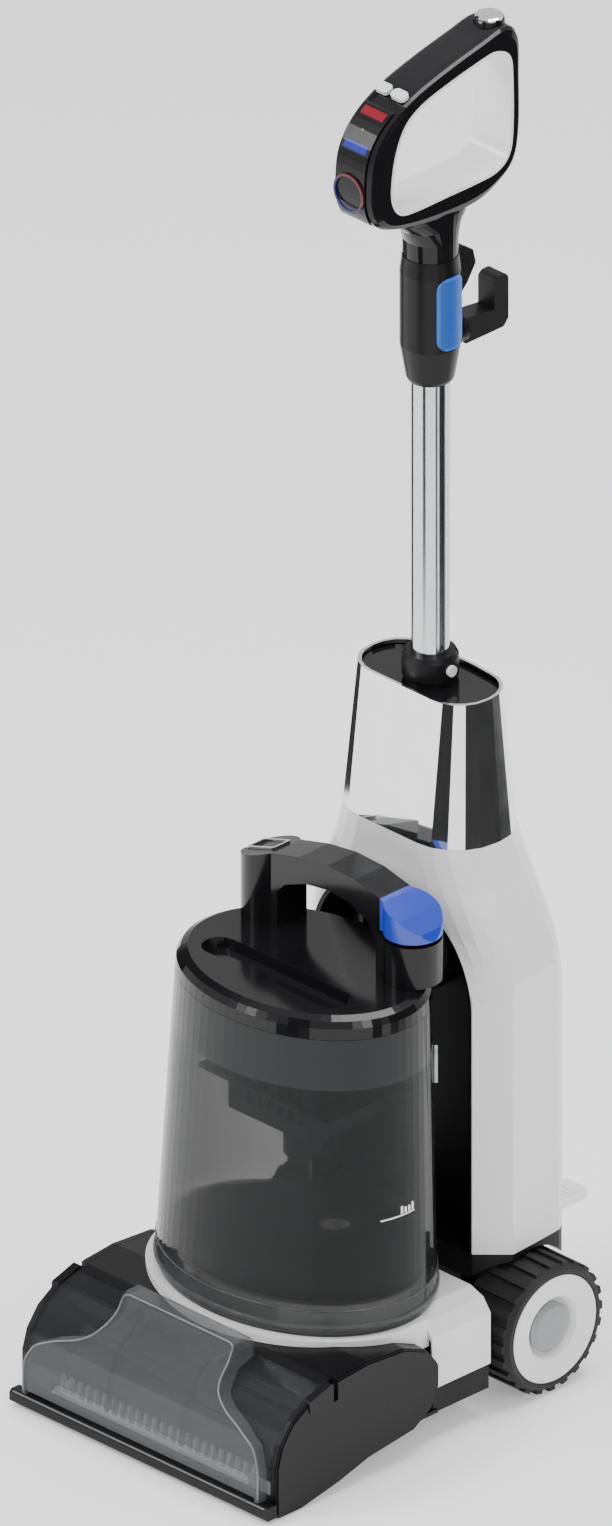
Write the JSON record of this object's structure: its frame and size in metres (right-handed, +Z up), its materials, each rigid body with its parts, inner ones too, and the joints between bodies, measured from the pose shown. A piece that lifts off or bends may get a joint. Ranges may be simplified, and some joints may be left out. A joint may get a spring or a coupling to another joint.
{
  "type": "carpet cleaner machine",
  "caption": "Upright carpet cleaner with a clear-fronted brush head, a lift-out smoked dirty-water tank, a reclining white body with a chrome cover, and a mast with a loop handle.",
  "frame": {"origin": "middle of the footprint, on the floor", "axes": "+Z up along the mast, front of the machine faces -Y, +X to its right-hand side seen from the front"},
  "size_m": [0.28, 0.4, 1.112],
  "materials": {
    "black_gloss": "glossy moulded black plastic",
    "black_satin": "satin moulded black plastic",
    "clear_window": "smoked clear plastic",
    "smoked_tank": "dark smoked clear plastic",
    "clean_water_tank": "grey clear plastic",
    "white_gloss": "glossy white plastic",
    "white_satin": "satin white plastic and nylon",
    "grey_plastic": "satin grey plastic",
    "rubber_black": "matt black rubber",
    "steel": "polished steel",
    "motor_metal": "zinc-plated motor case",
    "chrome": "bright chrome plate",
    "blue_button": "glossy blue plastic",
    "blue_label": "blue label film",
    "float_grey": "dark grey plastic",
    "blue_light": "blue light guide"
  },
  "bodies": {
    "head": {"side_panel_left": "black_gloss", "side_panel_right": "black_gloss", "nozzle_top": "black_gloss", "front_lip": "black_satin", "comb_strip": "white_satin", "spray_bar": "grey_plastic", "brush_motor": "motor_metal", "drive_belt": "rubber_black", "pump": "grey_plastic", "base_pan": "black_satin", "deck": "white_gloss", "axle": "steel"},
    "nozzle_cover": {"nozzle_window": "clear_window", "suction_duct": "clear_window"},
    "brush": {"brush_core": "grey_plastic", "brush_bristles": "white_satin", "brush_pulley": "grey_plastic"},
    "motor_shaft": {"motor_pulley": "grey_plastic"},
    "latch_left": {"latch_left": "black_satin"},
    "latch_right": {"latch_right": "black_satin"},
    "wheel_left": {"tyre_left": "rubber_black", "wheel_disc_left": "white_gloss", "hub_cap_left": "grey_plastic"},
    "wheel_right": {"tyre_right": "rubber_black", "wheel_disc_right": "white_gloss", "hub_cap_right": "grey_plastic"},
    "tank": {"tank_shell": "smoked_tank", "tank_clip": "clear_window"},
    "lid": {"tank_lid": "black_gloss", "filter_box": "grey_plastic", "tank_handle": "black_gloss", "handle_trim": "chrome"},
    "float": {"float_cup": "float_grey"},
    "release_button": {"release_button": "blue_button"},
    "upper": {"body_shell": "white_gloss", "arch_lining": "black_satin", "body_foot": "black_satin", "chrome_cover": "chrome", "cover_insert": "black_gloss", "tube_socket": "black_satin", "suction_motor": "motor_metal", "air_duct": "black_satin", "pedal_pin": "steel", "cord_inlet": "black_satin", "mast_tube": "steel", "collar": "black_gloss", "collar_label": "blue_label", "handle_shell": "black_gloss", "handle_liner": "white_gloss", "handle_cap": "chrome", "control_panel": "black_gloss", "light_ring": "blue_light"},
    "fan": {"fan_wheel": "white_satin"},
    "clean_tank": {"clean_tank": "clean_water_tank"},
    "filler_cap": {"clean_tank_cap": "blue_button"},
    "pedal": {"pedal": "white_gloss"},
    "tube_button": {"tube_button": "white_satin"},
    "cord_hook": {"cord_hook": "black_satin"},
    "power_button": {"power_button": "white_satin"},
    "mode_button": {"mode_button": "white_satin"}
  },
  "joints": [
    {"name": "recline", "type": "hinge", "parent": "head", "child": "upper", "pos_m": [0, 0.111, 0.054], "axis": [-1, 0, 0], "range_deg": [0, 55]},
    {"name": "wheel_left_spin", "type": "hinge", "parent": "head", "child": "wheel_left", "pos_m": [-0.113, 0.111, 0.054], "axis": [1, 0, 0], "continuous": true},
    {"name": "wheel_right_spin", "type": "hinge", "parent": "head", "child": "wheel_right", "pos_m": [0.113, 0.111, 0.054], "axis": [1, 0, 0], "continuous": true},
    {"name": "brush_spin", "type": "hinge", "parent": "head", "child": "brush", "pos_m": [0, -0.139, 0.029], "axis": [1, 0, 0], "continuous": true},
    {"name": "motor_spin", "type": "hinge", "parent": "head", "child": "motor_shaft", "pos_m": [-0.12, -0.07, 0.06], "axis": [1, 0, 0], "continuous": true},
    {"name": "cover_lift", "type": "slide", "parent": "head", "child": "nozzle_cover", "axis": [0, -0.6, 0.8], "range_m": [0, 0.06]},
    {"name": "latch_left_slide", "type": "slide", "parent": "head", "child": "latch_left", "axis": [0, 1, 0], "range_m": [0, 0.005], "stiffness_N_per_m": 200, "springref_m": -0.003},
    {"name": "latch_right_slide", "type": "slide", "parent": "head", "child": "latch_right", "axis": [0, 1, 0], "range_m": [0, 0.005], "stiffness_N_per_m": 200, "springref_m": -0.003},
    {"name": "tank_lift", "type": "slide", "parent": "head", "child": "tank", "axis": [0, 0, 1], "range_m": [0, 0.25]},
    {"name": "lid_lift", "type": "slide", "parent": "tank", "child": "lid", "axis": [0, 0, 1], "range_m": [0, 0.17]},
    {"name": "float_rise", "type": "slide", "parent": "lid", "child": "float", "axis": [0, 0, 1], "range_m": [0, 0.01]},
    {"name": "release_press", "type": "slide", "parent": "lid", "child": "release_button", "axis": [0, 0, -1], "range_m": [0, 0.003], "stiffness_N_per_m": 400, "springref_m": -0.002},
    {"name": "fan_spin", "type": "hinge", "parent": "upper", "child": "fan", "pos_m": [0, 0.131, 0.187], "axis": [0, 0, 1], "continuous": true},
    {"name": "clean_tank_pull", "type": "slide", "parent": "upper", "child": "clean_tank", "axis": [0, 1, 0], "range_m": [0, 0.08]},
    {"name": "filler_cap_pull", "type": "slide", "parent": "clean_tank", "child": "filler_cap", "axis": [0, 1, 0], "range_m": [0, 0.02]},
    {"name": "pedal_press", "type": "hinge", "parent": "upper", "child": "pedal", "pos_m": [0.072, 0.143, 0.12], "axis": [-1, 0, 0], "range_deg": [0, 10], "stiffness_Nm_per_rad": 1.5, "springref_deg": -8.59},
    {"name": "tube_button_press", "type": "slide", "parent": "upper", "child": "tube_button", "axis": [-1, 0, 0], "range_m": [0, 0.0015], "stiffness_N_per_m": 500, "springref_m": -0.002},
    {"name": "cord_hook_swivel", "type": "hinge", "parent": "upper", "child": "cord_hook", "pos_m": [0, 0.14, 0.854], "axis": [0, 1, 0], "range_deg": [0, 180]},
    {"name": "power_press", "type": "slide", "parent": "upper", "child": "power_button", "axis": [0, 0.342, -0.9397], "range_m": [0, 0.0012], "stiffness_N_per_m": 500, "springref_m": -0.001},
    {"name": "mode_press", "type": "slide", "parent": "upper", "child": "mode_button", "axis": [0, 0.342, -0.9397], "range_m": [0, 0.0012], "stiffness_N_per_m": 500, "springref_m": -0.001}
  ],
  "couplings": [
    {"joint": "motor_spin", "follows": "brush_spin", "ratio": 1.5}
  ]
}
